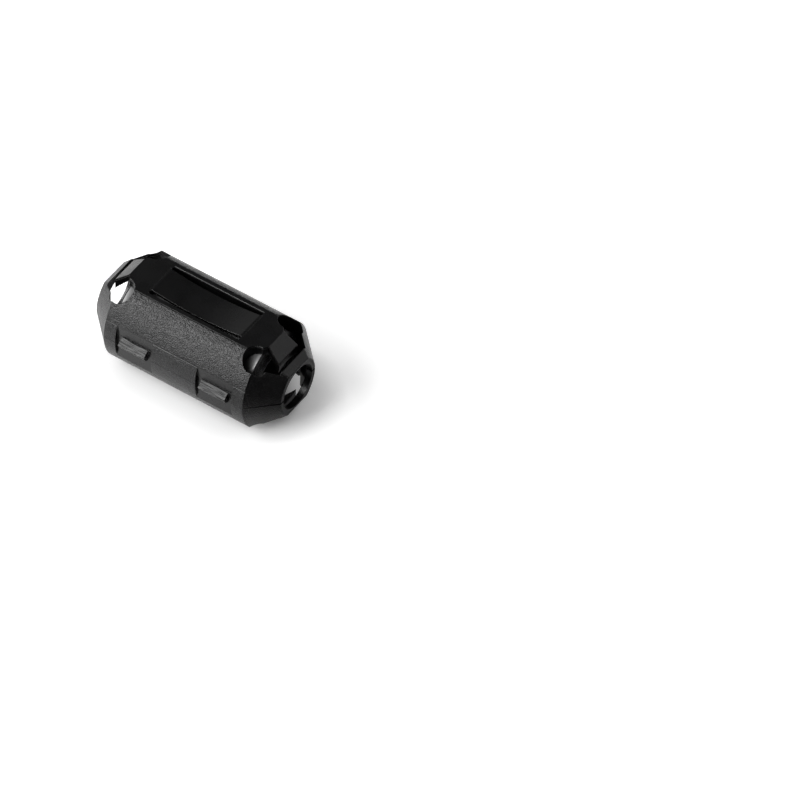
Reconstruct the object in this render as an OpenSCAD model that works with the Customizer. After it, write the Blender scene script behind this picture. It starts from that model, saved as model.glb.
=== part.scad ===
// Clip-on ferrite bead: a hinged, snap-shut housing around a split ferrite core.
// Frame: origin at the centre of the bore on the parting plane, +X along the bore, +Z up.
// The latches are on the -Y side and the living hinge is on the +Y side. Sizes are millimetres.

/* [Ferrite core] */
// Outer diameter of the closed core
core_od = 14.3; // [13.4:0.1:18]
// Diameter of the bore that a cable passes through
bore_d = 7.8; // [6:0.1:8.6]
// Length of the core
core_len = 26; // [24:0.5:40]
// Chamfer on the outer edges of the core's ends
core_chamfer = 0.35; // [0.1:0.05:0.6]
// Air gap between the ground faces of the two halves
core_gap = 0.04; // [0.02:0.02:0.1]

/* [Housing] */
// Play between the core and the housing, all round
core_play = 0.1; // [0.06:0.02:0.2]
// Play at each end of the core, before the ends of the housing start to taper
end_play = 0.4; // [0.1:0.05:0.8]
// Side wall at the parting plane
side_wall = 1.85; // [1.7:0.05:2.3]
// Wall between the cavity and the flats on top and underneath
roof_wall = 1.1; // [0.95:0.05:1.6]
// Width of the flats on top and underneath
flat_w = 8.9; // [8:0.1:10]
// How much is taken off the corner between a flat and a side
corner_ease = 0.08; // [0.02:0.02:0.16]
// How much wider than the core's bore the end openings are, on the radius
opening_ease = 0.1; // [0.05:0.05:0.3]
// Width of the rim around an end opening
rim_w = 0.8; // [0.4:0.05:1]
// Angle at which the sides taper towards the ends, from the bore's axis, in degrees
taper_angle = 44; // [40:0.5:46]
// Angle at which the flats bend towards the ends, in degrees
bend_angle = 42; // [38:0.5:42.5]
// Gap between the two shells along the parting line
part_gap = 0.06; // [0.04:0.02:0.2]
// Gap that the tapered ends have at the openings
end_gap = 0.35; // [0.2:0.05:0.7]

/* [Leaf springs] */
// Length of the leaf spring in each flat
leaf_len = 17.4; // [12:0.1:19]
// Width of the leaf
leaf_w = 5.5; // [4.5:0.1:6.4]
// Thickness of the leaf
leaf_t = 0.45; // [0.3:0.05:0.6]
// Slot on each side of the leaf
leaf_slot = 0.85; // [0.5:0.05:1]
// Flat root at each end of the leaf, before it bows inwards
leaf_root = 0.3; // [0.2:0.1:1]
// Gap left between the bowed leaf and the core
leaf_gap = 0.05; // [0.02:0.01:0.1]

/* [End tabs and windows] */
// Distance from the end of the cavity to the line where a flat bends down
bend_set = 0.05; // [0.05:0.05:1]
// Width of an end tab at its bend
tab_root_w = 4.1; // [3.4:0.1:5]
// Width of an end tab at its free end
tab_tip_w = 5.2; // [4:0.1:5.6]
// Slot across the free end of a tab
tab_slot = 0.9; // [0.5:0.1:1.2]
// Length of the collar in front of that slot
collar_len = 1.15; // [0.9:0.05:1.5]
// Radius of the round part of a corner window
window_r = 2.05; // [1.6:0.05:2.2]
// Distance of the round part from the middle of the flat
window_y = 4.85; // [4.5:0.05:5.2]
// Distance of its centre from the end of the cavity, towards the middle
window_set = 0.55; // [0.4:0.05:1]
// Half width of the cut-out at the collar
window_tip = 3.6; // [2.9:0.1:3.8]
// How far inside the round part its passage to the end starts
window_in = 0.06; // [0.04:0.02:0.2]

/* [Latches] */
// Distance of each latch from the middle of the bead
latch_x = 7.75; // [6:0.05:8.2]
// Width of a latch tongue
tongue_w = 6.5; // [5.8:0.1:7]
// Thickness of a tongue
tongue_t = 0.55; // [0.4:0.05:0.7]
// Height of a tongue above the parting plane
tongue_h = 1.35; // [1.2:0.05:1.4]
// Gap above a tongue
tongue_ease = 0.1; // [0.06:0.02:0.2]
// Slit on each side of a tongue
slit_w = 0.2; // [0.15:0.05:0.5]
// Depth of the slits below the parting plane
slit_depth = 2.6; // [1.8:0.1:3.5]
// Wall of the upper shell behind a tongue, which hangs down as a skirt
latch_wall = 0.6; // [0.5:0.05:0.7]
// Gap between a tongue and that wall
latch_gap = 0.08; // [0.04:0.01:0.15]
// Width of the skirt
skirt_w = 5.6; // [5.2:0.1:5.8]
// How far the skirt hangs below the parting plane
skirt_h = 1; // [0.8:0.05:1.3]
// How far the skirt's inner face stands back from the cavity
skirt_set = 0.05; // [0.04:0.01:0.1]
// Clearance around the skirt in its pocket in the lower shell
skirt_ease = 0.12; // [0.08:0.02:0.2]
// Width of the release lip on a tongue
lip_w = 5.1; // [3:0.1:6.4]
// How far the lip's outer edge stands out from its tongue
lip_out = 1.2; // [1:0.05:1.6]
// Height of that edge above the parting plane
lip_edge_z = 0.3; // [0.1:0.05:0.6]
// How far the lip's upper edge stands out from its tongue
lip_top = 0.4; // [0.3:0.05:0.6]
// Height of the lip's upper edge above the parting plane
lip_top_z = 1.1; // [0.9:0.05:1.15]
// How far the lip's lower edge stands back from its outer edge
lip_back = 0.55; // [0.3:0.05:0.8]
// Depth of the lip's lower edge below the parting plane
lip_low = 0.6; // [0.3:0.05:0.7]
// Depth at which the lip meets its tongue again
lip_root = 0.9; // [0.75:0.05:1.2]
// How far the barb reaches in from its tongue
barb_in = 0.4; // [0.3:0.05:0.5]
// Width of the barb
barb_w = 4.2; // [3:0.1:4.4]
// Depth of the barb's catching face below the parting plane
barb_low = 0.1; // [0:0.05:0.2]
// Clearance around the barb in its catch window
barb_ease = 0.1; // [0.06:0.02:0.2]

/* [Living hinge] */
// Distance of each strap from the middle of the bead
strap_x = 8; // [5:0.1:9]
// Width of a strap
strap_w = 7; // [3:0.1:8]
// Thickness of a strap
strap_t = 0.35; // [0.25:0.05:0.5]
// Inner radius of the folded strap
strap_bend = 0.25; // [0.15:0.05:0.4]
// Distance of the fold's axis outside the housing
hinge_out = 0.75; // [0.6:0.05:1.2]
// Depth of the flat pad on which a strap starts
pad_depth = 0.1; // [0.06:0.02:0.2]
// How far a pad runs past the folded strap, up or down
pad_edge = 0.4; // [0.2:0.05:0.8]

/* [Hidden] */

$fn = 120;
// Circle steps of the shallow bow of a leaf
bow_steps = 1440;
// How far cutting shapes run past the faces that they cut
past = 2;

housing_black = [0.07, 0.07, 0.075];
ferrite_grey = [0.36, 0.36, 0.38];

// Core and cavity
core_r = core_od / 2;
bore_r = bore_d / 2;
cavity_r = core_r + core_play;
edge_x = core_len / 2 + end_play;

// Cross-section of the housing: two flats joined by arcs whose centres lie beyond the bore's axis
half_w = cavity_r + side_wall;
half_h = cavity_r + roof_wall;
half_flat = flat_w / 2;
side_off = (half_flat ^ 2 + half_h ^ 2 - half_w ^ 2) / (2 * (half_w - half_flat));
side_r = half_w + side_off;
corner_r = norm([half_flat, half_h]) - corner_ease;

// Ends that taper to the rim of the opening
opening_r = bore_r + opening_ease;
taper = tan(taper_angle);
bend = tan(bend_angle);
nose_drop = half_w - opening_r - rim_w;
nose_len = nose_drop / taper;
half_len = edge_x + nose_len;
bend_x = edge_x + bend_set;
bend_drop = bend * (half_len - bend_x);
slot_end_x = half_len - collar_len;
slot_start_x = slot_end_x - tab_slot;
window_x = edge_x - window_set;
passage = window_r - window_in;

// Leaf spring: the bow that brings its underside down to the core
leaf_sag = half_h - leaf_t - leaf_gap - core_r;
bow_half = leaf_len / 2 - leaf_root;
bow_r = (bow_half ^ 2 + leaf_sag ^ 2) / (2 * leaf_sag);

// Latch, measured outwards from the bore's axis
recess_w = tongue_w + 2 * slit_w;
skirt_out = cavity_r + latch_wall;
skirt_in = cavity_r + skirt_set;
tongue_in = skirt_out + latch_gap;
tongue_mid = tongue_in + tongue_t / 2;
tongue_out = tongue_in + tongue_t;
tongue_root = slit_depth / 2;
lip_y = tongue_out + lip_out;

// Living hinge
hinge_y = half_w + hinge_out;
pad_y = half_w - pad_depth;
strap_r = strap_bend + strap_t;
pad_h = strap_r + pad_edge;

// A solid of revolution about the X axis from [radius, x] points
module turned(points) {
    rotate([0, 90, 0])
        rotate_extrude()
            polygon([for (p = points) [p[0], p[1]]]);
}

// Half space above the parting plane, less half the gap
module above(gap) {
    translate([-half_len - past, -half_w - 2 * past, gap / 2])
        cube([2 * (half_len + past), 2 * (half_w + 2 * past), half_h + past]);
}

// One curved side of the housing with its tapered ends
module side_form(side) {
    translate([0, -side * side_off, 0])
        turned([
            [0, -half_len],
            [side_r - nose_drop, -half_len],
            [side_r, -edge_x],
            [side_r, edge_x],
            [side_r - nose_drop, half_len],
            [0, half_len],
        ]);
}

// Flats on top and underneath, bent towards the ends
module flat_form() {
    rotate([90, 0, 0])
        linear_extrude(height = 2 * (half_w + past), center = true)
            polygon([
                [-bend_x, half_h],
                [bend_x, half_h],
                [half_len, half_h - bend_drop],
                [half_len, bend_drop - half_h],
                [bend_x, -half_h],
                [-bend_x, -half_h],
                [-half_len, bend_drop - half_h],
                [-half_len, half_h - bend_drop],
            ]);
}

// Outside of the closed housing
module outside() {
    intersection() {
        side_form(1);
        side_form(-1);
        flat_form();
        rotate([0, 90, 0])
            cylinder(r = corner_r, h = 2 * half_len, center = true);
    }
}

// Inside of the closed housing: room for the core, hollow tapered ends and the end openings
module inside() {
    cone_x = edge_x + (cavity_r - opening_r) / taper;
    turned([
        [0, -half_len - past],
        [opening_r, -half_len - past],
        [opening_r, -cone_x],
        [cavity_r, -edge_x],
        [cavity_r, edge_x],
        [opening_r, cone_x],
        [opening_r, half_len + past],
        [0, half_len + past],
    ]);
}

// Cut-out around one end tab: two round corner windows, their passages to the end and the slot across
module tab_cut() {
    linear_extrude(height = half_h + past)
        polygon([
            [bend_x, tab_root_w / 2],
            [slot_start_x, tab_tip_w / 2],
            [slot_start_x, -tab_tip_w / 2],
            [bend_x, -tab_root_w / 2],
            [window_x, -window_y + passage],
            [window_x, -window_y - passage],
            [slot_end_x, -window_tip],
            [slot_end_x, window_tip],
            [window_x, window_y + passage],
            [window_x, window_y - passage],
        ]);
    for (side = [-1, 1])
        translate([window_x, side * window_y, 0])
            cylinder(r = window_r, h = half_h + past);
}

// Wedge that opens the parting line towards one end
module end_wedge() {
    rotate([90, 0, 0])
        linear_extrude(height = 2 * half_w, center = true)
            polygon([
                [edge_x, 0],
                [half_len, 0],
                [half_len, end_gap],
                [edge_x, part_gap / 2],
            ]);
}

// Opening in the flat that leaves room for the leaf to move
module leaf_cut() {
    width = leaf_w + 2 * leaf_slot;
    translate([-leaf_len / 2, -width / 2, 0])
        cube([leaf_len, width, half_h + past]);
}

// Leaf spring, joined to the flat at both ends and bowed inwards between them
module leaf() {
    overlap = leaf_root;
    intersection() {
        outside();
        translate([-leaf_len / 2 - overlap, -leaf_w / 2, cavity_r - roof_wall])
            cube([leaf_len + 2 * overlap, leaf_w, 2 * roof_wall + past]);
        translate([0, 0, half_h - leaf_sag + bow_r])
            rotate([90, 0, 0])
                difference() {
                    cylinder(r = bow_r + leaf_t, h = leaf_w + past, center = true, $fn = bow_steps);
                    cylinder(r = bow_r, h = leaf_w + 2 * past, center = true, $fn = bow_steps);
                }
    }
}

// Flat pads at the foot of the hinge straps, as cuts for one shell
module hinge_pads() {
    for (side = [-1, 1])
        translate([side * strap_x - strap_w / 2, pad_y, 0])
            cube([strap_w, past, pad_h]);
}

// Upper half of the outside, with the cut-outs around its tabs and the pads of the hinge
module cut_half() {
    difference() {
        intersection() {
            outside();
            above(part_gap);
        }
        tab_cut();
        mirror([1, 0, 0]) tab_cut();
        hinge_pads();
    }
}

// What both shells have, for the upper half: a hollow half of the housing with its leaf spring
module plain_shell() {
    difference() {
        cut_half();
        inside();
        leaf_cut();
    }
    leaf();
}

// Repeats its children at the places of the two latches
module at_latches() {
    for (side = [-1, 1])
        translate([side * latch_x, 0, 0])
            children();
}

// Flat of a latch, as a cut in the side of both shells
module latch_flat() {
    translate([-recess_w / 2, -half_w - past, -half_h])
        cube([recess_w, half_w + past - tongue_out, 2 * half_h]);
}

// Skirt of the upper shell behind a tongue, as a solid that starts inside the shell's wall
module skirt() {
    translate([-skirt_w / 2, -skirt_out, -skirt_h])
        cube([skirt_w, skirt_out - skirt_in, skirt_h + part_gap]);
}

// Notch in the upper shell for a tongue, with the catch window behind it
module tongue_notch() {
    translate([-recess_w / 2, -half_w - past, 0])
        cube([recess_w, half_w + past - skirt_out, tongue_h + tongue_ease]);
    window_w = barb_w + 2 * barb_ease;
    translate([-window_w / 2, -half_w, -barb_low - barb_ease])
        cube([window_w, half_w - bore_r, barb_low + tongue_h + 2 * barb_ease]);
}

// Slits on both sides of a tongue and the pocket for the skirt behind it, as cuts in the lower shell
module tongue_cuts() {
    for (side = [-1, 1])
        translate([side * (tongue_w + slit_w) / 2 - slit_w / 2, -half_w - past, -slit_depth])
            cube([slit_w, half_w + past - bore_r, slit_depth]);
    pocket_w = skirt_w + 2 * skirt_ease;
    translate([-pocket_w / 2, -tongue_in, -skirt_h - skirt_ease])
        cube([pocket_w, tongue_in - bore_r, skirt_h + skirt_ease]);
}

// Upper end of a latch tongue: its stem, the release lip outside and the barb inside
module tongue() {
    rotate([90, 0, 90]) {
        linear_extrude(height = tongue_w, center = true)
            polygon([
                [-tongue_in, -tongue_root],
                [-tongue_in, tongue_h],
                [-tongue_out, tongue_h],
                [-tongue_out, -tongue_root],
            ]);
        linear_extrude(height = lip_w, center = true)
            polygon([
                [-tongue_mid, tongue_h],
                [-tongue_out, tongue_h],
                [-tongue_out - lip_top, lip_top_z],
                [-lip_y, lip_edge_z],
                [-lip_y + lip_back, -lip_low],
                [-tongue_out, -lip_root],
                [-tongue_mid, -lip_root],
            ]);
        linear_extrude(height = barb_w, center = true)
            polygon([
                [-tongue_mid, -barb_low],
                [-tongue_in + barb_in, -barb_low],
                [-tongue_in + barb_in, tongue_h - barb_in],
                [-tongue_in, tongue_h],
                [-tongue_mid, tongue_h],
            ]);
    }
}

// Half of the ferrite ring, above the parting plane
module half_core() {
    difference() {
        intersection() {
            turned([
                [0, -core_len / 2],
                [core_r - core_chamfer, -core_len / 2],
                [core_r, core_chamfer - core_len / 2],
                [core_r, core_len / 2 - core_chamfer],
                [core_r - core_chamfer, core_len / 2],
                [0, core_len / 2],
            ]);
            above(core_gap);
        }
        rotate([0, 90, 0])
            cylinder(r = bore_r, h = core_len + past, center = true);
    }
}

// Lower half of the housing with the two latch tongues
module lower_shell() {
    color(housing_black) {
        difference() {
            mirror([0, 0, 1]) plain_shell();
            at_latches() {
                latch_flat();
                tongue_cuts();
            }
        }
        at_latches() tongue();
    }
}

// Upper half of the housing, which swings up on the hinge, with the skirts that catch the barbs
module upper_shell() {
    color(housing_black)
        difference() {
            union() {
                plain_shell();
                at_latches() skirt();
            }
            at_latches() {
                latch_flat();
                tongue_notch();
            }
            end_wedge();
            mirror([1, 0, 0]) end_wedge();
        }
}

// Half of the core that lies in the lower shell
module lower_core() {
    color(ferrite_grey)
        mirror([0, 0, 1]) half_core();
}

// Half of the core that lies in the upper shell
module upper_core() {
    color(ferrite_grey)
        half_core();
}

// Two thin straps, folded in a U about the hinge axis, that join the shells
module living_hinge() {
    color(housing_black)
        for (side = [-1, 1])
            translate([side * strap_x, hinge_y, 0])
                rotate([0, 90, 0])
                    difference() {
                        union() {
                            cylinder(r = strap_r, h = strap_w, center = true);
                            translate([-strap_r, pad_y - hinge_y, -strap_w / 2])
                                cube([2 * strap_r, hinge_y - pad_y, strap_w]);
                        }
                        cylinder(r = strap_bend, h = strap_w + past, center = true);
                        translate([-strap_bend, pad_y - hinge_y - past, -strap_w / 2 - past])
                            cube([2 * strap_bend, hinge_y - pad_y + past, strap_w + 2 * past]);
                    }
}

lower_shell();
upper_shell();
lower_core();
upper_core();
living_hinge();
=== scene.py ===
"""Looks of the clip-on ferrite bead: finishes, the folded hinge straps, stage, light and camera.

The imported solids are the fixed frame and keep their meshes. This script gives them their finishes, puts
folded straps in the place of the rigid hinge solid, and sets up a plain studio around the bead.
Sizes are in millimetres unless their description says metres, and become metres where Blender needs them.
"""

import logging
import math
from dataclasses import dataclass, field
from enum import Enum

import bpy
import numpy as np
from bpy.types import Material, Node, NodeSocket, NodeTree, Object
from mathutils import Matrix, Vector


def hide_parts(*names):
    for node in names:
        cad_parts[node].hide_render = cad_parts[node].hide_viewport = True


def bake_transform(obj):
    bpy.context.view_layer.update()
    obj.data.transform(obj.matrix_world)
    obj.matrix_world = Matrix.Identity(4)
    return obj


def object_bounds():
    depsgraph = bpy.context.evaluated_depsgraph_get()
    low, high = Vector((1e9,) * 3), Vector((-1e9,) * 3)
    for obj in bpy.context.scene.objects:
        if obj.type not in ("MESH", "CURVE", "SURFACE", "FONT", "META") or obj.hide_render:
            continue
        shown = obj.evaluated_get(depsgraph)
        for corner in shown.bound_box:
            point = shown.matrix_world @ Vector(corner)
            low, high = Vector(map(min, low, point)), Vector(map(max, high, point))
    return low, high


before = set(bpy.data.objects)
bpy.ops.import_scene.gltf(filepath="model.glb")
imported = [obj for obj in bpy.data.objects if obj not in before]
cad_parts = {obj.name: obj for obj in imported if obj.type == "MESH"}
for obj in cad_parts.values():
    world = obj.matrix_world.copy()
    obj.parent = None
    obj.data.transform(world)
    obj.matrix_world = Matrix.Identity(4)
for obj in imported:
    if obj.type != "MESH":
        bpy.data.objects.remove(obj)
CAD_LOW, CAD_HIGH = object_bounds()

MM = 0.001
log = logging.getLogger("ferrite_bead")

Span = tuple[float, float]
Triple = tuple[float, float, float]

# Most of a noise lies in the first range, and nearly all of it in the second.
NOISE_CORE: Span = (0.3, 0.7)
NOISE_WIDE: Span = (0.25, 0.75)


class Slot(Enum):
    """Material slots of the record that the finishes belong to."""

    HOUSING = "housing"
    FERRITE = "ferrite"


class Body(Enum):
    """Bodies of the bead that move against each other."""

    BASE = "base"
    LID = "lid"


class Graph:
    """Small helper that adds shader nodes to one material and links them.

    Args:
        name: Name of the new material.

    Attributes:
        MEASURES: Operations on vectors that give a number.
        EDGE_SAMPLES: Samples with which an edge's radius is found.
    """

    MEASURES: tuple[str, ...] = ("LENGTH", "DISTANCE", "DOT_PRODUCT")
    EDGE_SAMPLES: int = 6

    def __init__(self, name: str) -> None:
        """Starts a material with an output node and nothing else."""
        self.material: Material = bpy.data.materials.new(name)
        self.material.use_nodes = True
        self.tree: NodeTree = self.material.node_tree
        self.tree.nodes.clear()
        self.output: Node = self.tree.nodes.new("ShaderNodeOutputMaterial")

    def add(self, kind: str, **inputs: object) -> Node:
        """Adds a node and fills its inputs.

        Args:
            kind: Blender's identifier of the node.
            **inputs: Input values or sockets to link, by socket name with _ for a space.

        Returns:
            The new node.
        """
        node = self.tree.nodes.new(kind)
        for key, value in inputs.items():
            self.feed(node.inputs[key.replace("_", " ")], value)
        return node

    def feed(self, socket: NodeSocket, value: object) -> None:
        """Links a socket to another, or sets its own value.

        Args:
            socket: The input to fill.
            value: An output socket, or the value itself.
        """
        if isinstance(value, NodeSocket):
            self.tree.links.new(value, socket)
        else:
            socket.default_value = value

    def math(self, operation: str, first: object, *others: object) -> NodeSocket:
        """Applies a math operation to a value and each further value in turn.

        Args:
            operation: Blender's name of the operation.
            first: First operand, a number or a socket.
            *others: Further operands; none for an operation on a single number.

        Returns:
            The result's socket.
        """
        result = first
        for other in others or (0.0,):
            node = self.tree.nodes.new("ShaderNodeMath")
            node.operation = operation
            self.feed(node.inputs[0], result)
            self.feed(node.inputs[1], other)
            result = node.outputs[0]
        return result

    def vector(self, operation: str, a: object, b: object = (0.0, 0.0, 0.0)) -> NodeSocket:
        """Adds a vector math node.

        Args:
            operation: Blender's name of the operation.
            a: First vector, given or from a socket.
            b: Second vector, or the factor of a scaling.

        Returns:
            The result's socket: a number for the measures, and else a vector.
        """
        node = self.tree.nodes.new("ShaderNodeVectorMath")
        node.operation = operation
        self.feed(node.inputs[0], a)
        self.feed(node.inputs["Scale" if operation == "SCALE" else 1], b)
        return node.outputs["Value" if operation in self.MEASURES else "Vector"]

    def place(self) -> NodeSocket:
        """Object coordinates of the shaded point, in millimetres."""
        return self.vector("SCALE", self.add("ShaderNodeTexCoord").outputs["Object"], 1.0 / MM)

    def flip(self, share: object) -> NodeSocket:
        """What a share leaves of 1."""
        return self.math("SUBTRACT", 1.0, share)

    def blend(self, factor: object, a: object, b: object) -> NodeSocket:
        """Mixes two numbers: a where the factor is 0 and b where it is 1."""
        rest = self.math("MULTIPLY", a, self.flip(factor))
        return self.math("ADD", rest, self.math("MULTIPLY", b, factor))

    def ramp(self, value: object, span: Span, ends: Span) -> NodeSocket:
        """Maps a range smoothly onto another and clamps it.

        Args:
            value: Number or socket to map.
            span: Start and end of the range.
            ends: Results at its start and at its end.

        Returns:
            The result's socket.
        """
        node = self.add("ShaderNodeMapRange", Value=value, From_Min=span[0], From_Max=span[1])
        node.interpolation_type = "SMOOTHSTEP"
        self.feed(node.inputs["To Min"], ends[0])
        self.feed(node.inputs["To Max"], ends[1])
        return node.outputs["Result"]

    def below(self, value: object, span: Span) -> NodeSocket:
        """1 below a range and 0 above it, with a smooth change between."""
        return self.ramp(value, span, (1.0, 0.0))

    def above(self, value: object, span: Span) -> NodeSocket:
        """0 below a range and 1 above it, with a smooth change between."""
        return self.ramp(value, span, (0.0, 1.0))

    def noise(
        self, place: NodeSocket, cell: float, detail: float = 0.0, roughness: float = 0.5
    ) -> NodeSocket:
        """Adds a noise texture whose cells have a real size.

        Args:
            place: Coordinates in millimetres.
            cell: Size of a cell in millimetres.
            detail: Octaves of finer noise.
            roughness: Share of the finer octaves.

        Returns:
            The noise value's socket.
        """
        node = self.add("ShaderNodeTexNoise", Vector=place, Scale=1.0 / cell, Detail=detail)
        self.feed(node.inputs["Roughness"], roughness)
        return node.outputs[0]

    def normal(
        self, radius: object, height: NodeSocket, depth: float, share: float = 1.0
    ) -> NodeSocket:
        """Normal of a surface with rounded edges and a fine relief.

        Args:
            radius: Radius of the edges in metres, a number or a socket.
            height: Height of the relief, as a multiple of its depth.
            depth: Depth of the relief in millimetres.
            share: How much of the relief shows, from 0 to 1.

        Returns:
            The normal's socket.
        """
        edge = self.add("ShaderNodeBevel", Radius=radius)
        edge.samples = self.EDGE_SAMPLES
        bump = self.add("ShaderNodeBump", Strength=share, Height=height, Normal=edge.outputs[0])
        self.feed(bump.inputs["Distance"], depth * MM)
        return bump.outputs[0]

    def shade(self, surface: Node) -> Material:
        """Connects the surface shader to the output and returns the finished material."""
        self.feed(self.output.inputs["Surface"], surface.outputs[0])
        return self.material


@dataclass(frozen=True)
class HousingForm:
    """Sizes of the moulded housing that its finish follows, in millimetres.

    Attributes:
        half_h: Height of the flats above the parting plane.
        bend_x: Where the flats bend down towards the ends.
        taper: Slope of the flats' ends.
        side_r: Radius of the bowed sides.
        side_shift: How far the bow's centre lies past the bore's axis.
        edge_x: Where the sides begin to taper.
        side_taper: Slope of the sides' ends.
        leaf_half: Half the length of a leaf spring.
        leaf_side: Half the width of a leaf spring.
        leaf_sag: How far a leaf bows below its flat.
        crease_x: Where a leaf bends out of its flat.
        latch_x: Distance of each latch from the middle of the bead.
        lip_side: Half the length of a latch's release lip.
        recess_y: Distance of the smooth latch face from the bore's axis.
        gate: Place of the small moulding gate on the left end.
    """

    half_h: float = CAD_HIGH.z / MM
    bend_x: float = 13.45
    taper: float = math.tan(math.radians(42))
    side_r: float = 9.82
    side_shift: float = 0.72
    edge_x: float = 13.4
    side_taper: float = math.tan(math.radians(44))
    leaf_half: float = 8.7
    leaf_side: float = 2.75
    leaf_sag: float = 0.7
    crease_x: float = 8.82
    latch_x: float = 7.75
    lip_side: float = 2.7
    recess_y: float = 8.48
    gate: Triple = (-15.76, -6.28, 2.95)


@dataclass(frozen=True)
class ZoneEdges:
    """Distances over which the zones of the housing's skin fade, in millimetres.

    Attributes:
        flat: Depth below a flat or a tab.
        outline: Distance outside the outline of a leaf or a lip.
        bow: Depth below the lowest place of a leaf.
        latch: Distance from a latch face.
        deep: Depth below the outer form at which inner walls begin.
        tongue: Distance behind a latch face up to which the latch reaches.
        crease: Distance from a crease.
        gate: Distance from the middle of the gate mark.
        seam: Distance from the parting plane.
    """

    flat: Span = (0.04, 0.12)
    outline: Span = (0.0, 0.1)
    bow: Span = (0.1, 0.3)
    latch: Span = (0.02, 0.06)
    deep: Span = (0.3, 0.5)
    tongue: Span = (0.3, 0.6)
    crease: Span = (0.02, 0.12)
    gate: Span = (0.15, 0.35)
    seam: Span = (0.2, 0.4)


@dataclass(frozen=True)
class HousingZones:
    """Parts of the housing's skin, each as a socket that is 1 inside the zone and 0 outside.

    Attributes:
        satin: Flats, tabs, leaves, lips and latch faces.
        lip: Release lips of the latches.
        inner: Walls of slots and windows, and the inside of the housing, which get painted shade and
            little grain.
        crease: Bend lines at the ends of the leaves.
        gate: The mark that the moulding gate leaves.
        seam: The sharp edges of the parting line, away from the lips.
    """

    satin: NodeSocket
    lip: NodeSocket
    inner: NodeSocket
    crease: NodeSocket
    gate: NodeSocket
    seam: NodeSocket

    @classmethod
    def find(
        cls, g: Graph, place: NodeSocket, form: HousingForm, edges: ZoneEdges
    ) -> "HousingZones":
        """Finds the zones from where a point lies.

        A point's depth is the smaller of its distance below the flat at its place along the bore and
        its distance inside the bowed side there. It is on a flat or a tab where the first is close to 0,
        on a leaf where it lies inside the leaf's outline, no deeper than the bow, and on a latch face
        where its distance from the bore's axis is that of the recess. A lip stands out from the latch
        face. Where the point is deep and on neither a leaf nor a latch, it is on an inner wall.

        Args:
            g: Graph of the material.
            place: Object coordinates in millimetres.
            form: Sizes of the housing.
            edges: Distances over which the zones fade.

        Returns:
            The zones.
        """
        axes = g.add("ShaderNodeSeparateXYZ", Vector=place).outputs
        along, across, height = (g.math("ABSOLUTE", axis) for axis in axes)
        past_bend = g.math("MAXIMUM", g.math("SUBTRACT", along, form.bend_x), 0.0)
        flat_height = g.math("SUBTRACT", form.half_h, g.math("MULTIPLY", past_bend, form.taper))
        flat_depth = g.math("SUBTRACT", flat_height, height)
        past_edge = g.math("MAXIMUM", g.math("SUBTRACT", along, form.edge_x), 0.0)
        side_reach = g.math("SUBTRACT", form.side_r, g.math("MULTIPLY", past_edge, form.side_taper))
        bowed = g.add("ShaderNodeCombineXYZ", Y=g.math("ADD", across, form.side_shift), Z=height)
        side_depth = g.math("SUBTRACT", side_reach, g.vector("LENGTH", bowed.outputs[0]))
        depth = g.math("MINIMUM", flat_depth, side_depth)

        on_flat = g.below(flat_depth, edges.flat)
        in_length = g.below(g.math("SUBTRACT", along, form.leaf_half), edges.outline)
        in_width = g.below(g.math("SUBTRACT", across, form.leaf_side), edges.outline)
        in_bow = g.below(g.math("SUBTRACT", flat_depth, form.leaf_sag), edges.bow)
        on_leaf = g.math("MULTIPLY", in_length, in_width, in_bow)
        behind = g.math("ADD", axes["Y"], form.recess_y)
        on_latch = g.below(g.math("ABSOLUTE", behind), edges.latch)
        from_latch = g.math("ABSOLUTE", g.math("SUBTRACT", along, form.latch_x))
        in_lip = g.below(g.math("SUBTRACT", from_latch, form.lip_side), edges.outline)
        proud = g.above(g.math("MULTIPLY", behind, -1.0), edges.latch)
        lip = g.math("MULTIPLY", in_lip, proud)
        satin = g.math("MAXIMUM", on_flat, on_leaf, on_latch, lip)

        outer = g.math("MAXIMUM", on_leaf, g.below(behind, edges.tongue))
        inner = g.math("MULTIPLY", g.above(depth, edges.deep), g.flip(outer))
        from_crease = g.math("ABSOLUTE", g.math("SUBTRACT", along, form.crease_x))
        crease = g.math("MULTIPLY", g.below(from_crease, edges.crease), on_flat, in_width)
        gate = g.below(g.vector("DISTANCE", place, form.gate), edges.gate)
        seam = g.math("MULTIPLY", g.below(height, edges.seam), g.flip(lip))
        return cls(satin, lip, inner, crease, gate, seam)


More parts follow.
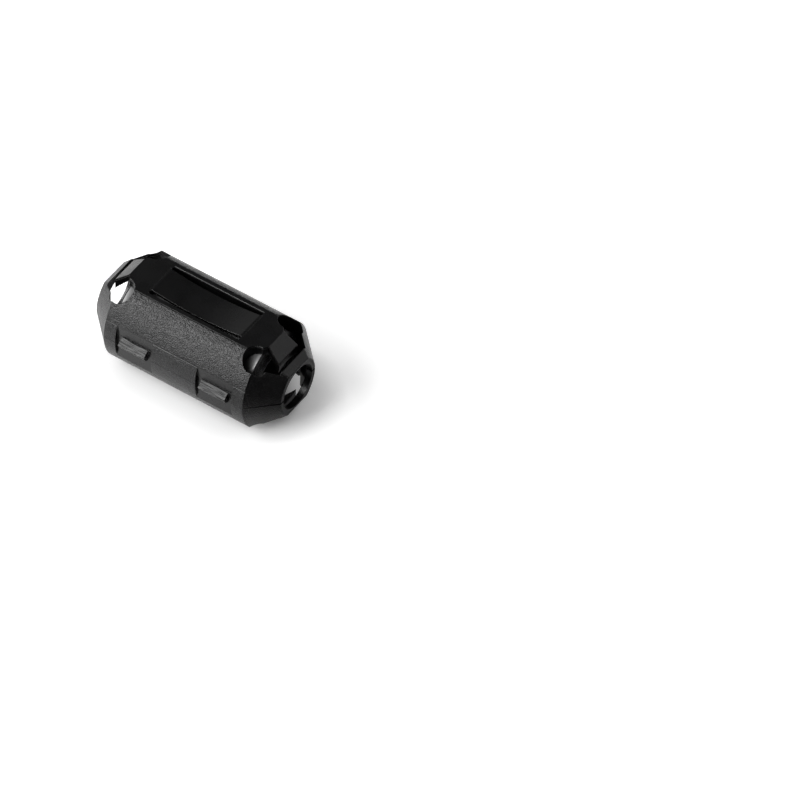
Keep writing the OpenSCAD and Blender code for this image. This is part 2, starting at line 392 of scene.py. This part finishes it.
@dataclass(frozen=True)
class NylonFinish:
    """Black moulded nylon: spark-eroded grain on the sides, satin on flats, leaves, lips and latches.

    Attributes:
        name: Name of the material.
        tone: Linear colour of the black.
        ior: Index of refraction.
        grain_mm: Size of the grain's cells.
        pore_mm: Size of the finer pores in the grain.
        pore_share: Share of the pores in the grain.
        grain_depth_mm: Depth of the grain.
        smooth_share: Share of the grain that is left on satin faces and inner walls.
        line_mm: Spacing of the fine lines along the release lips.
        line_change: How fast a line changes along the bead, as a share of its change across.
        line_depth: Depth of the lines, as a multiple of the grain's depth.
        crease_depth: Depth of the creases, as a multiple of the grain's depth.
        gate_depth: Depth of the gate mark, as a multiple of the grain's depth.
        flow_mm: Size of the faint patches that the flow of the melt leaves.
        flow_gloss: What the patches add to the roughness.
        flow_tone: Factors by which the patches change the colour.
        grain_gloss: Roughness of the grained sides.
        satin_gloss: Roughness of the satin faces.
        lip_gloss: Roughness of the release lips.
        inner_painted_shade: Share of the colour that is left on the inner walls, as painted shade.
        edge_mm: Radius that moulding leaves on the edges.
    """

    name: str = "moulded_nylon"
    tone: Triple = (0.0042, 0.0042, 0.0044)
    ior: float = 1.53
    grain_mm: float = 0.17
    pore_mm: float = 0.102
    pore_share: float = 0.3
    grain_depth_mm: float = 0.135
    smooth_share: float = 0.06
    line_mm: float = 0.22
    line_change: float = 0.06
    line_depth: float = 1.5
    crease_depth: float = 0.4
    gate_depth: float = 1.5
    flow_mm: float = 3.5
    flow_gloss: Span = (-0.03, 0.03)
    flow_tone: Span = (0.85, 1.15)
    grain_gloss: float = 0.33
    satin_gloss: float = 0.28
    lip_gloss: float = 0.4
    inner_painted_shade: float = 0.12
    edge_mm: float = 0.12

    def relief(self, g: Graph, place: NodeSocket, zones: HousingZones) -> NodeSocket:
        """Height of the fine relief: grain on the sides, faint on satin, lines along the lips.

        The grain is noise of two sizes. The lines are noise whose coordinates hardly change along the
        bead. Creases and the gate mark are cut into it.

        Args:
            g: Graph of the material.
            place: Object coordinates in millimetres.
            zones: Zones of the housing.

        Returns:
            The height, as a multiple of the grain's depth.
        """
        cells = g.noise(place, self.grain_mm)
        pores = g.noise(place, self.pore_mm)
        smooth = g.math("MAXIMUM", zones.satin, zones.inner)
        left = g.blend(smooth, 1.0, self.smooth_share)
        grain = g.math("MULTIPLY", g.blend(self.pore_share, cells, pores), left)
        drawn = g.vector("MULTIPLY", place, (self.line_change, 1.0, 1.0))
        lines = g.math("MULTIPLY", g.noise(drawn, self.line_mm, detail=1.0), self.line_depth)
        crease = g.math("MULTIPLY", zones.crease, self.crease_depth)
        gate = g.math("MULTIPLY", zones.gate, self.gate_depth)
        return g.math("SUBTRACT", g.blend(zones.lip, grain, lines), crease, gate)

    def make(self, form: HousingForm) -> Material:
        """Builds the material.

        Args:
            form: Sizes of the housing that tell its zones apart.

        Returns:
            The finished material.
        """
        g = Graph(self.name)
        place = g.place()
        zones = HousingZones.find(g, place, form, ZoneEdges())
        flow = g.noise(place, self.flow_mm, detail=3.0)
        radius = g.math("MULTIPLY", g.flip(zones.seam), self.edge_mm * MM)
        normal = g.normal(radius, self.relief(g, place, zones), self.grain_depth_mm)
        gloss = g.blend(zones.satin, self.grain_gloss, self.satin_gloss)
        gloss = g.blend(zones.lip, gloss, self.lip_gloss)
        gloss = g.math("ADD", gloss, g.ramp(flow, NOISE_CORE, self.flow_gloss))
        shade = g.ramp(flow, NOISE_WIDE, self.flow_tone)
        # Painted shade: the inner walls' colour is darkened to a small share of the black.
        shade = g.math("MULTIPLY", shade, g.blend(zones.inner, 1.0, self.inner_painted_shade))
        colour = g.vector("SCALE", self.tone, shade)
        surface = g.add("ShaderNodeBsdfPrincipled", Base_Color=colour, Roughness=gloss, IOR=self.ior)
        g.feed(surface.inputs["Normal"], normal)
        return g.shade(surface)


@dataclass(frozen=True)
class FerriteFinish:
    """Sintered ferrite: dense dark grey ceramic with a fine grain, scattered pits and a dull shine.

    Attributes:
        name: Name of the material.
        tone: Linear colour of the ceramic.
        ior: Index of refraction.
        grain_mm: Size of the sintered grain.
        grain_height: Height of the grain, as a share of the pits' depth.
        grain_tone: Factors by which the grain changes the colour.
        cloud_mm: Size of the faint clouds in the ceramic.
        cloud_tone: Factors by which the clouds change the colour.
        cloud_gloss: What the clouds add to the roughness.
        pit_mm: Spacing of the small pits.
        pit_edge: Inner and outer radius of a pit's edge, as shares of the spacing.
        pit_painted_shade: Share of the colour that is left in the pits, as painted shade.
        pit_depth_mm: Depth of the pits.
        relief_share: How much of the relief shows.
        skin_gloss: Roughness of the sintered skin.
        worn_gloss: Roughness towards the ends, which tumbling has worn smooth.
        worn_mm: Distances from the middle between which the wear sets in.
        end_gloss: Roughness of the ground end faces.
        end_mm: Distances from the middle between which the ground end faces begin.
        edge_mm: Radius that tumbling leaves on the edges.
    """

    name: str = "sintered_ferrite"
    tone: Triple = (0.022, 0.022, 0.023)
    ior: float = 2.1
    grain_mm: float = 0.16
    grain_height: float = 0.35
    grain_tone: Span = (0.88, 1.12)
    cloud_mm: float = 2.4
    cloud_tone: Span = (0.82, 1.18)
    cloud_gloss: Span = (-0.04, 0.05)
    pit_mm: float = 0.7
    pit_edge: Span = (0.06, 0.16)
    pit_painted_shade: float = 0.6
    pit_depth_mm: float = 0.012
    relief_share: float = 0.5
    skin_gloss: float = 0.66
    worn_gloss: float = 0.34
    worn_mm: Span = (11.8, 12.9)
    end_gloss: float = 0.14
    end_mm: Span = (12.95, 12.99)
    edge_mm: float = 0.1

    def make(self) -> Material:
        """Builds the material.

        Returns:
            The finished material.
        """
        g = Graph(self.name)
        place = g.place()
        grain = g.noise(place, self.grain_mm, detail=3.0, roughness=0.6)
        cloud = g.noise(place, self.cloud_mm, detail=3.0)
        pits = g.add("ShaderNodeTexVoronoi", Vector=place, Scale=1.0 / self.pit_mm)
        level = g.above(pits.outputs["Distance"], self.pit_edge)
        height = g.math("ADD", g.math("MULTIPLY", grain, self.grain_height), level)
        normal = g.normal(self.edge_mm * MM, height, self.pit_depth_mm, self.relief_share)
        cloud_tone = g.ramp(cloud, NOISE_WIDE, self.cloud_tone)
        grain_tone = g.ramp(grain, NOISE_CORE, self.grain_tone)
        # Painted shade: the colour is darkened in the pits.
        pit_painted_shade = g.ramp(level, (0.0, 1.0), (self.pit_painted_shade, 1.0))
        colour = g.vector("SCALE", self.tone, g.math("MULTIPLY", cloud_tone, grain_tone, pit_painted_shade))
        along = g.math("ABSOLUTE", g.add("ShaderNodeSeparateXYZ", Vector=place).outputs["X"])
        worn = g.ramp(along, self.worn_mm, (self.skin_gloss, self.worn_gloss))
        skin = g.math("ADD", worn, g.ramp(cloud, NOISE_CORE, self.cloud_gloss))
        gloss = g.blend(g.above(along, self.end_mm), skin, self.end_gloss)
        surface = g.add("ShaderNodeBsdfPrincipled", Base_Color=colour, Roughness=gloss, IOR=self.ior)
        g.feed(surface.inputs["Normal"], normal)
        return g.shade(surface)


@dataclass(frozen=True)
class StudioFloorFinish:
    """White studio floor that takes the bead's shadow.

    Attributes:
        name: Name of the material.
        tone: Grey level of the floor.
        glow: What the floor adds for the camera, so that it shows as white.
        mirror_glow: Painted glow that the floor adds for reflections of its painted pool of light.
        contact_mm: Reach of the soft contact shadow in these glows.
        contact_power: Power that narrows the contact shadow.
        contact_samples: Samples with which it is found.
        lit_side: Direction in which the painted pool of light ends, towards the front right.
        edge_mm: Where its soft edge begins and ends in that direction.
        reach_mm: Distances from the bead between which it fades out on the other sides.
        glow_side: Direction in which its glow grows, towards the back left.
        glow_mm: Where that glow begins and is complete in that direction.
    """

    name: str = "studio_floor"
    tone: float = 0.9
    glow: float = 0.6
    mirror_glow: float = 0.5
    contact_mm: float = 8.0
    contact_power: float = 2.0
    contact_samples: int = 12
    lit_side: Triple = (0.9, -0.4, 0.0)
    edge_mm: Span = (9.0, 28.0)
    reach_mm: Span = (60.0, 130.0)
    glow_side: Triple = (-0.6, 0.8, 0.0)
    glow_mm: Span = (-25.0, 15.0)

    def make(self) -> Material:
        """Builds the material.

        Reflections see a painted pool of light: white floor to the left of the bead and behind it, and
        painted darkness beyond a soft edge, as on a small lit table in a dark room. The camera sees white
        throughout.

        Returns:
            The finished material.
        """
        g = Graph(self.name)
        path = g.add("ShaderNodeLightPath").outputs
        mirrored = path["Is Glossy Ray"]
        seen = g.math("MAXIMUM", path["Is Camera Ray"], path["Is Transmission Ray"])
        place = g.place()
        # Painted pool of light: in reflections the floor is white only near the bead and away from the
        # front right, and glows more towards the back left.
        within = g.below(g.vector("LENGTH", place), self.reach_mm)
        before = g.below(g.vector("DOT_PRODUCT", place, self.lit_side), self.edge_mm)
        pool = g.math("MULTIPLY", within, before)
        grown = g.above(g.vector("DOT_PRODUCT", place, self.glow_side), self.glow_mm)
        white = (self.tone, self.tone, self.tone)
        colour = g.vector("SCALE", white, g.blend(mirrored, 1.0, pool))
        matt = g.add("ShaderNodeBsdfDiffuse", Color=colour)
        for_mirror = g.math("MULTIPLY", mirrored, pool, grown, self.mirror_glow)
        for_camera = g.math("MULTIPLY", seen, self.glow)
        contact = g.add("ShaderNodeAmbientOcclusion", Distance=self.contact_mm * MM)
        contact.samples = self.contact_samples
        uncovered = g.math("POWER", contact.outputs["AO"], self.contact_power)
        strength = g.math("MULTIPLY", uncovered, g.math("ADD", for_camera, for_mirror))
        glow = g.add("ShaderNodeEmission", Strength=strength)
        both = g.add("ShaderNodeAddShader")
        g.feed(both.inputs[0], matt.outputs[0])
        g.feed(both.inputs[1], glow.outputs[0])
        return g.shade(both)


def grid_faces(rows: int, columns: int, closed: bool) -> list[list[int]]:
    """Quads of a grid of points, numbered row by row.

    Args:
        rows: Points along the first parameter.
        columns: Points along the second parameter.
        closed: Whether the last column joins the first.

    Returns:
        Vertex numbers, four for each quad.
    """
    across = columns if closed else columns - 1
    i, j = np.meshgrid(np.arange(rows - 1), np.arange(across), indexing="ij")
    after = (j + 1) % columns
    here = i * columns
    above = (i + 1) * columns
    quads = np.stack([here + j, here + after, above + after, above + j], -1)
    return quads.reshape(-1, 4).tolist()


def mesh_object(name: str, points: np.ndarray, faces: list[list[int]], smooth: bool) -> Object:
    """Puts points and faces into a new object at the origin.

    Args:
        name: Name of the object.
        points: Vertex places in metres, three numbers each.
        faces: Vertex numbers of each face.
        smooth: Whether the faces are shaded smoothly.

    Returns:
        The new object, linked to the scene.
    """
    mesh = bpy.data.meshes.new(name)
    mesh.from_pydata(points.tolist(), [], faces)
    mesh.polygons.foreach_set("use_smooth", np.full(len(mesh.polygons), smooth))
    mesh.update()
    piece = bpy.data.objects.new(name, mesh)
    bpy.context.scene.collection.objects.link(piece)
    return piece


def cover(node: str, slot: Slot, material: Material) -> None:
    """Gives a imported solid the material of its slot.

    Args:
        node: Name of the solid.
        slot: The slot that the record gives it.
        material: The material.
    """
    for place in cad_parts[node].material_slots:
        place.material = material
    log.info("dressed %s, slot %s, with %s", node, slot.value, material.name)


@dataclass
class Housing:
    """The two moulded shells, which keep their solids' meshes.

    Attributes:
        nodes: Names of the shells.
        form: Sizes that the finish follows.
        finish: Finish of the moulding.
    """

    nodes: tuple[str, ...] = ("lower_shell", "upper_shell")
    form: HousingForm = field(default_factory=HousingForm)
    finish: NylonFinish = field(default_factory=NylonFinish)

    def dress(self) -> Material:
        """Gives the shells their moulded nylon.

        Returns:
            The nylon, for the straps that are moulded with the shells.
        """
        nylon = self.finish.make(self.form)
        for node in self.nodes:
            cover(node, Slot.HOUSING, nylon)
        return nylon


@dataclass
class SplitCore:
    """The two halves of the ferrite core, which keep their solids' meshes.

    Attributes:
        nodes: Names of the halves.
        finish: Finish of the ceramic.
    """

    nodes: tuple[str, ...] = ("lower_core", "upper_core")
    finish: FerriteFinish = field(default_factory=FerriteFinish)

    def dress(self) -> None:
        """Gives both halves their sintered ferrite."""
        ferrite = self.finish.make()
        for node in self.nodes:
            cover(node, Slot.FERRITE, ferrite)


@dataclass
class LivingHinge:
    """Two thin straps that join the shells, folded in a U while the bead is shut, in millimetres.

    Attributes:
        strap_x: Distance of each strap from the middle of the bead.
        strap_w: Width of a strap.
        strap_t: Thickness of a strap where it joins a shell.
        fold_t: Thickness in the middle of the fold, where the strap is thinnest.
        strap_bend: Inner radius of the fold.
        hinge_y: Distance of the fold's axis from the bore's axis.
        pad_y: Distance of the pads from which the straps start.
        edge_r: Radius on the long edges of a strap.
        path_steps: Points along a strap.
        corner_steps: Points in each rounded corner of its profile.
    """

    strap_x: float = 8.0
    strap_w: float = 7.0
    strap_t: float = 0.35
    fold_t: float = 0.27
    strap_bend: float = 0.25
    hinge_y: float = 9.85
    pad_y: float = 9.0
    edge_r: float = 0.1
    path_steps: int = 73
    corner_steps: int = 6

    @property
    def fold_r(self) -> float:
        """Radius of the fold in the middle of the strap's thickness."""
        return self.strap_bend + self.strap_t / 2

    def path(self) -> tuple[np.ndarray, np.ndarray, np.ndarray]:
        """Middle line of a strap in the plane across the bead.

        It runs straight from the lower pad to the fold, turns half a circle about the hinge's axis, and
        runs straight back to the upper pad. The distance along it grows evenly.

        Returns:
            Points as (y, z), outward normals as (y, z), and the share of the length at each point.
        """
        straight = self.hinge_y - self.pad_y
        arc = math.pi * self.fold_r
        length = 2 * straight + arc
        s = np.linspace(0.0, length, self.path_steps)
        turn = np.clip((s - straight) / self.fold_r, 0.0, math.pi) - math.pi / 2
        back = np.clip(s - straight - arc, 0.0, straight)
        ahead = np.clip(s, 0.0, straight)
        y = self.pad_y + ahead - back + self.fold_r * np.cos(turn)
        z = self.fold_r * np.sin(turn)
        return np.stack([y, z], -1), np.stack([np.cos(turn), np.sin(turn)], -1), s / length

    def profile(self) -> tuple[np.ndarray, np.ndarray]:
        """Rounded rectangle across a strap.

        Each corner is a quarter circle about its own centre; the four corners follow each other round.

        Returns:
            Places along the width in millimetres, and along the thickness from -1 to 1.
        """
        quarter = np.linspace(0.0, math.pi / 2, self.corner_steps)
        angle = np.concatenate([quarter + k * math.pi / 2 for k in range(4)])
        side_x = np.repeat([1.0, -1.0, -1.0, 1.0], self.corner_steps)
        side_t = np.repeat([1.0, 1.0, -1.0, -1.0], self.corner_steps)
        reach = self.edge_r / (self.strap_t / 2)
        width = side_x * (self.strap_w / 2 - self.edge_r) + self.edge_r * np.cos(angle)
        depth = side_t * (1.0 - reach) + reach * np.sin(angle)
        return width, depth

    def strap(self, name: str, middle: float) -> Object:
        """Builds one strap: the profile carried along the path, thinner in the fold.

        A point is the path's point, moved along the path's normal by half the local thickness times the
        profile's depth, and along the bead by the profile's width. The thickness dips in the fold as the
        square of a raised cosine of the place along the path.

        Args:
            name: Name of the piece.
            middle: Place of the strap's middle along the bead, in millimetres.

        Returns:
            The strap as a closed mesh.
        """
        line, normal, share = self.path()
        width, depth = self.profile()
        dip = 0.5 - 0.5 * np.cos(2 * math.pi * share)
        half = (self.strap_t - (self.strap_t - self.fold_t) * dip ** 2) / 2
        offset = half[:, None] * depth[None, :]
        y = line[:, 0, None] + normal[:, 0, None] * offset
        z = line[:, 1, None] + normal[:, 1, None] * offset
        x = np.broadcast_to(middle + width[None, :], y.shape)
        points = np.stack([x, y, z], -1).reshape(-1, 3) * MM
        columns = len(width)
        faces = grid_faces(self.path_steps, columns, True)
        last = (self.path_steps - 1) * columns
        faces.append(list(range(columns))[::-1])
        faces.append([last + k for k in range(columns)])
        return mesh_object(name, points, faces, True)

    def build(self, nylon: Material) -> None:
        """Builds both straps between the shells and hides the rigid hinge solid.

        Args:
            nylon: The housing's material.
        """
        straps = [
            self.strap("hinge_strap_left", -self.strap_x),
            self.strap("hinge_strap_right", self.strap_x),
        ]
        for piece in straps:
            piece.data.materials.append(nylon)
            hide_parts("living_hinge")
            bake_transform(piece)
            log.info("built %s, %d faces", piece.name, len(piece.data.polygons))


@dataclass(frozen=True)
class SoftLamp:
    """Soft rectangular lamp that faces the bead, in metres.

    Attributes:
        name: Name of the lamp.
        toward: Direction from the bead to the lamp.
        distance: Distance from the bead.
        size: Width and height of the lamp's face.
        brightness: Radiance of the face; 1 shows as white.
    """

    name: str
    toward: Triple
    distance: float
    size: Span
    brightness: float

    def hang(self) -> None:
        """Hangs the lamp. Its power is the brightness times pi times the area of its face."""
        width, height = self.size
        data = bpy.data.lights.new(self.name, "AREA")
        data.shape = "RECTANGLE"
        data.size = width
        data.size_y = height
        data.energy = self.brightness * math.pi * width * height
        piece = bpy.data.objects.new(self.name, data)
        way = Vector(self.toward).normalized()
        piece.location = way * self.distance
        piece.rotation_mode = "QUATERNION"
        piece.rotation_quaternion = way.to_track_quat("Z", "Y")
        bpy.context.scene.collection.objects.link(piece)
        log.info("hung %s", self.name)


@dataclass
class Studio:
    """Plain white studio: floor, soft lamps and a dim surround.

    Attributes:
        floor_half: Half the floor's side, in metres.
        floor_gap: Gap that keeps the floor and the lower flat apart, in metres.
        floor_lines: Points along each side of the floor's grid.
        finish: Finish of the floor.
        surround: Grey level of the surround.
        lamps: The lamps, from the brightest on the left to those behind the bead.
    """

    floor_half: float = 4.0
    floor_gap: float = 0.00002
    floor_lines: int = 9
    finish: StudioFloorFinish = field(default_factory=StudioFloorFinish)
    surround: float = 0.05
    lamps: tuple[SoftLamp, ...] = (
        SoftLamp("key_softbox", (-0.5, -0.68, 0.54), 0.7, (0.6, 0.6), 6.6),
        SoftLamp("overhead", (-0.3, -0.36, 0.88), 0.8, (0.35, 0.35), 1.8),
        SoftLamp("back_left_card", (-0.68, 0.56, 0.48), 0.8, (0.35, 0.35), 0.4),
        SoftLamp("back_right_card", (0.70, 0.57, 0.43), 0.8, (0.3, 0.3), 0.6),
        SoftLamp("back_fill", (0.25, 0.93, 0.28), 0.8, (0.6, 0.4), 1.6),
    )

    def lay_floor(self) -> None:
        """Lays the floor under the bead: a grid of two parameters, a hair below the lower flat."""
        side = np.linspace(-self.floor_half, self.floor_half, self.floor_lines)
        x, y = np.meshgrid(side, side, indexing="xy")
        height = CAD_LOW.z - self.floor_gap
        points = np.stack([x, y, np.full_like(x, height)], -1).reshape(-1, 3)
        faces = grid_faces(self.floor_lines, self.floor_lines, False)
        piece = mesh_object("floor", points, faces, False)
        piece.data.materials.append(self.finish.make())
        log.info("laid the floor")

    def build(self) -> None:
        """Lays the floor, hangs the lamps and sets the surround."""
        self.lay_floor()
        for lamp in self.lamps:
            lamp.hang()
        world = bpy.data.worlds.new("surround")
        world.use_nodes = True
        back = world.node_tree.nodes["Background"]
        back.inputs["Color"].default_value = (self.surround, self.surround, self.surround, 1.0)
        back.inputs["Strength"].default_value = 1.0
        bpy.context.scene.world = world


@dataclass(frozen=True)
class PhotoCamera:
    """Camera that looks at the bead as the photograph does.

    Attributes:
        elevation: Degrees above the floor.
        azimuth: Degrees round the bead, from looking along +Y towards looking along -X.
        roll: Degrees that the camera is turned about its own axis.
        scale: Pixels per millimetre at the bead.
        centre_u: Pixel column of the bore's centre.
        centre_v: Pixel row of the bore's centre.
        distance: Distance to the bead in millimetres.
        pixels: Width and height of the picture.
        sensor: Width of the camera's sensor in millimetres.
        clip_m: Nearest and farthest distance that it sees, in metres.
    """

    elevation: float = 47.53
    azimuth: float = 31.73
    roll: float = 2.92
    scale: float = 6.28
    centre_u: float = 205.51
    centre_v: float = 338.46
    distance: float = 1200.0
    pixels: int = 800
    sensor: float = 36.0
    clip_m: Span = (0.05, 20.0)

    def build(self) -> None:
        """Puts the camera in place.

        The bore's centre lies at its pixel when the camera is moved sideways and up by that pixel's
        distance from the middle of the picture, divided by the scale.
        """
        e, a, r = (math.radians(v) for v in (self.elevation, self.azimuth, self.roll))
        level = Vector((math.cos(a), math.sin(a), 0.0))
        ahead = Vector((-math.sin(a), math.cos(a), 0.0))
        forward = ahead * math.cos(e) - Vector((0.0, 0.0, math.sin(e)))
        upright = ahead * math.sin(e) + Vector((0.0, 0.0, math.cos(e)))
        right = level * math.cos(r) + upright * math.sin(r)
        up = upright * math.cos(r) - level * math.sin(r)
        shift_x = (self.centre_u - self.pixels / 2) / self.scale
        shift_y = (self.pixels / 2 - self.centre_v) / self.scale
        place = (right * shift_x + up * shift_y + forward * self.distance) * -MM
        data = bpy.data.cameras.new("photo_camera")
        data.sensor_width = self.sensor
        data.lens = self.scale * self.distance / self.pixels * self.sensor
        data.clip_start, data.clip_end = self.clip_m
        camera = bpy.data.objects.new("photo_camera", data)
        turn = Matrix((right, up, -forward)).transposed().to_4x4()
        camera.matrix_world = Matrix.Translation(place) @ turn
        bpy.context.scene.collection.objects.link(camera)
        bpy.context.scene.camera = camera
        log.info("set the camera, lens %.0f mm", data.lens)


def main() -> None:
    """Sets the camera, then builds the bead's finishes and pieces in order, and the studio."""
    logging.basicConfig(level=logging.INFO, format="%(name)s: %(message)s")
    bpy.context.scene.view_settings.view_transform = "Standard"
    PhotoCamera().build()
    nylon = Housing().dress()
    SplitCore().dress()
    LivingHinge().build(nylon)
    Studio().build()


if __name__ == "__main__":
    main()
